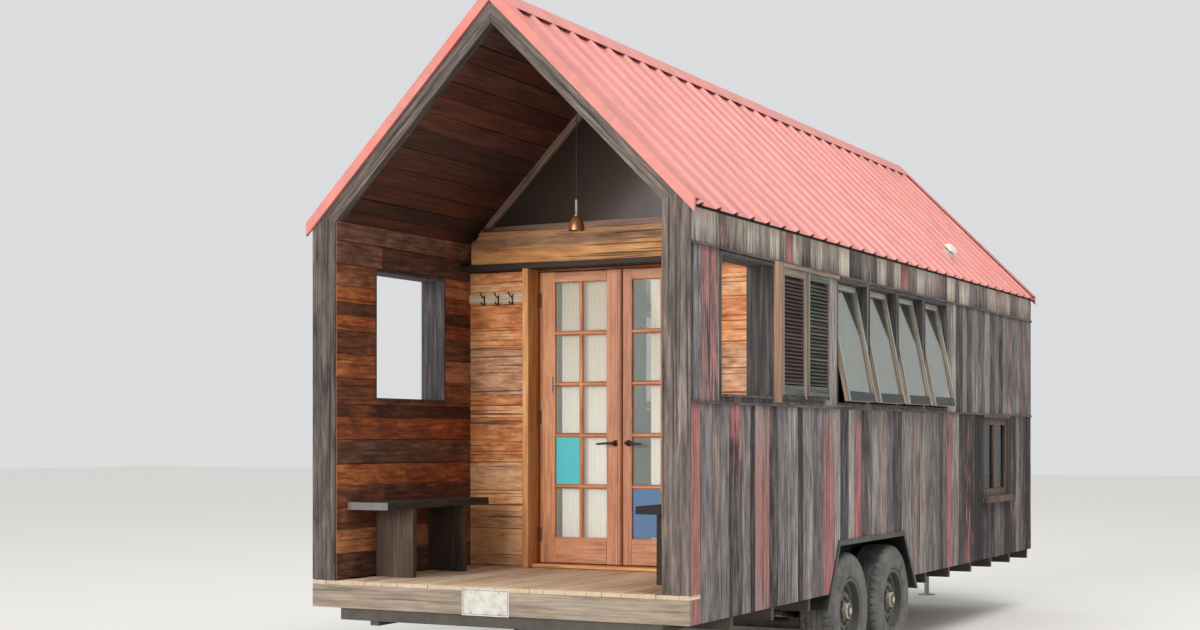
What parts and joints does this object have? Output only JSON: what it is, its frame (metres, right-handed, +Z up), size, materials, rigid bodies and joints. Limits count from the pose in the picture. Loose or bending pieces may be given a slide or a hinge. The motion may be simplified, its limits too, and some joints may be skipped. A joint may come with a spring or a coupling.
{
  "type": "tiny house on wheels",
  "caption": "Small gabled timber cabin with an open front porch, built on a two-axle trailer; its glazed double doors swing out and its road wheels turn.",
  "frame": {"origin": "on the ground, below the middle of the overall box", "axes": "+Z up, +Y along the house from the porch to the tow coupler, +X to the right seen from the porch"},
  "size_m": [2.5972, 8.65, 4.0464],
  "materials": {
    "frame_paint": "black chassis paint, dusty",
    "jack_steel": "zinc-plated",
    "fender_paint": "black paint, dusty",
    "floor_timber": "raw boards",
    "deck_timber": "weathered, bare",
    "rim_timber": "weathered, bare",
    "porch_lining": "reclaimed boards, oiled",
    "inner_lining": "plain boards",
    "grey_boards": "weathered reclaimed boards with worn red paint",
    "door_wall_boards": "honey boards, oiled",
    "flashing_metal": "dark, worn",
    "post_timber": "weathered grey",
    "beam_timber": "old golden beam with grey streaks",
    "ceiling_timber": "dark boards",
    "dark_glass": "dark, reflecting",
    "roof_sheet": "faded red paint, semi-matt",
    "roof_trim": "faded red paint",
    "white_metal": "white paint",
    "sash_paint": "dark blue-green paint, worn",
    "window_timber": "weathered",
    "clear_glass": "clear",
    "shutter_paint": "worn paint",
    "door_timber": "reddish-brown, varnished",
    "dark_hardware": "blackened",
    "curtain_cloth": "thin white cloth",
    "bench_timber": "dark planks",
    "pale_timber": "pale board",
    "flex_rubber": "dark flex",
    "copper": "copper, warm",
    "plate_metal": "white enamel",
    "wheel_steel": "grey paint, dusty",
    "tyre_rubber": "dusty tread"
  },
  "bodies": {
    "house": {"trailer_frame": "frame_paint", "coupler": "frame_paint", "tongue_jack": "jack_steel", "axles": "frame_paint", "leaf_springs": "frame_paint", "fenders": "fender_paint", "fender_rims": "fender_paint", "floor_platform": "floor_timber", "porch_deck": "deck_timber", "rim_beam": "rim_timber", "right_wall": "porch_lining", "left_wall": "porch_lining", "end_wall": "inner_lining", "right_boards": "grey_boards", "left_boards": "grey_boards", "end_boards": "grey_boards", "door_wall_left": "door_wall_boards", "door_wall_right": "door_wall_boards", "door_wall_top": "door_wall_boards", "flashings": "flashing_metal", "porch_posts": "post_timber", "gable_rafters": "post_timber", "header_beam": "beam_timber", "gable_frame": "ceiling_timber", "gable_glass": "dark_glass", "roof_right": "ceiling_timber", "roof_left": "ceiling_timber", "roof_sheet_right": "roof_sheet", "roof_sheet_left": "roof_sheet", "ridge_cap": "roof_sheet", "gable_trims": "roof_trim", "roof_vent": "white_metal", "awning_sashes": "sash_paint", "low_windows": "window_timber", "window_glass": "clear_glass", "shutters": "shutter_paint", "window_linings": "window_timber", "door_frame": "door_timber", "porch_benches": "bench_timber", "coat_hook_rail": "pale_timber", "lamp_rose": "ceiling_timber", "pendant_flex": "flex_rubber", "pendant_lamp": "copper", "licence_plate": "plate_metal"},
    "door_left": {"door_leaf_left": "door_timber", "door_glass_left": "clear_glass", "door_hardware_left": "dark_hardware", "curtain_left": "curtain_cloth"},
    "door_right": {"door_leaf_right": "door_timber", "door_glass_right": "clear_glass", "door_hardware_right": "dark_hardware", "curtain_right": "curtain_cloth"},
    "road_wheel_rear_right": {"wheel_rear_right": "wheel_steel", "tyre_rear_right": "tyre_rubber"},
    "road_wheel_rear_left": {"wheel_rear_left": "wheel_steel", "tyre_rear_left": "tyre_rubber"},
    "road_wheel_front_right": {"wheel_front_right": "wheel_steel", "tyre_front_right": "tyre_rubber"},
    "road_wheel_front_left": {"wheel_front_left": "wheel_steel", "tyre_front_left": "tyre_rubber"}
  },
  "joints": [
    {"name": "door_left_hinge", "type": "hinge", "parent": "house", "child": "door_left", "pos_m": [-0.5325, -2.8025, 1.65], "axis": [0, 0, -1], "range_deg": [0, 90]},
    {"name": "door_right_hinge", "type": "hinge", "parent": "house", "child": "door_right", "pos_m": [0.6665, -2.8025, 1.65], "axis": [0, 0, 1], "range_deg": [0, 90]},
    {"name": "wheel_rear_right_spin", "type": "hinge", "parent": "house", "child": "road_wheel_rear_right", "pos_m": [1.085, -1.698, 0.385], "axis": [1, 0, 0], "continuous": true},
    {"name": "wheel_rear_left_spin", "type": "hinge", "parent": "house", "child": "road_wheel_rear_left", "pos_m": [-1.085, -1.698, 0.385], "axis": [1, 0, 0], "continuous": true},
    {"name": "wheel_front_right_spin", "type": "hinge", "parent": "house", "child": "road_wheel_front_right", "pos_m": [1.085, -0.792, 0.385], "axis": [1, 0, 0], "continuous": true},
    {"name": "wheel_front_left_spin", "type": "hinge", "parent": "house", "child": "road_wheel_front_left", "pos_m": [-1.085, -0.792, 0.385], "axis": [1, 0, 0], "continuous": true}
  ]
}
